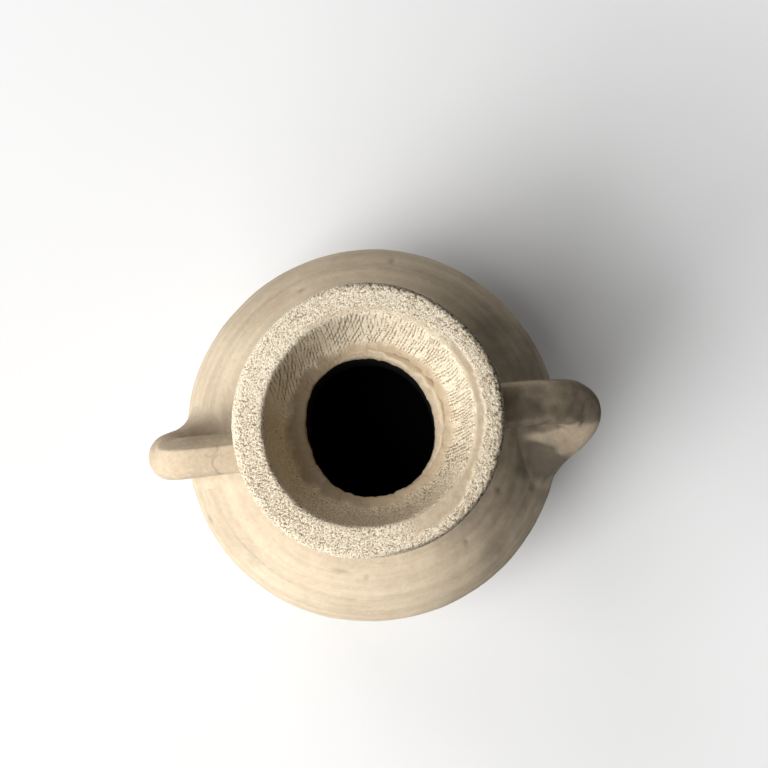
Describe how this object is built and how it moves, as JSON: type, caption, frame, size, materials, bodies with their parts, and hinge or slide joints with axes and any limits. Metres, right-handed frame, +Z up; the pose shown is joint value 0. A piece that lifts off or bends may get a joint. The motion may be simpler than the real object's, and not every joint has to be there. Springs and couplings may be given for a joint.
{
  "type": "two-handled clay flask",
  "caption": "Round-bodied clay flask with a flat base, a short neck, a thick-rimmed cup mouth and ear handles from neck to shoulder; holds oil, with a throat for a stopper.",
  "frame": {"origin": "centre of the flat base, on the surface that the flask stands on", "axes": "+Z up along the flask's turning axis, +X out through the right handle, +Y towards the back"},
  "size_m": [0.1251, 0.11, 0.1178],
  "materials": {
    "body_clay": "matte",
    "mouth_clay": "matte",
    "handle_clay": "matte",
    "luting_clay": "matte"
  },
  "bodies": {
    "root": {"belly": "body_clay", "shoulder": "body_clay", "neck": "body_clay", "mouth": "mouth_clay", "left_handle": "handle_clay", "right_handle": "handle_clay", "neck_root_coil": "luting_clay", "mouth_seam_coil": "luting_clay", "left_handle_root_pad": "luting_clay", "left_handle_foot_pad": "luting_clay", "right_handle_root_pad": "luting_clay", "right_handle_foot_pad": "luting_clay"}
  },
  "joints": []
}
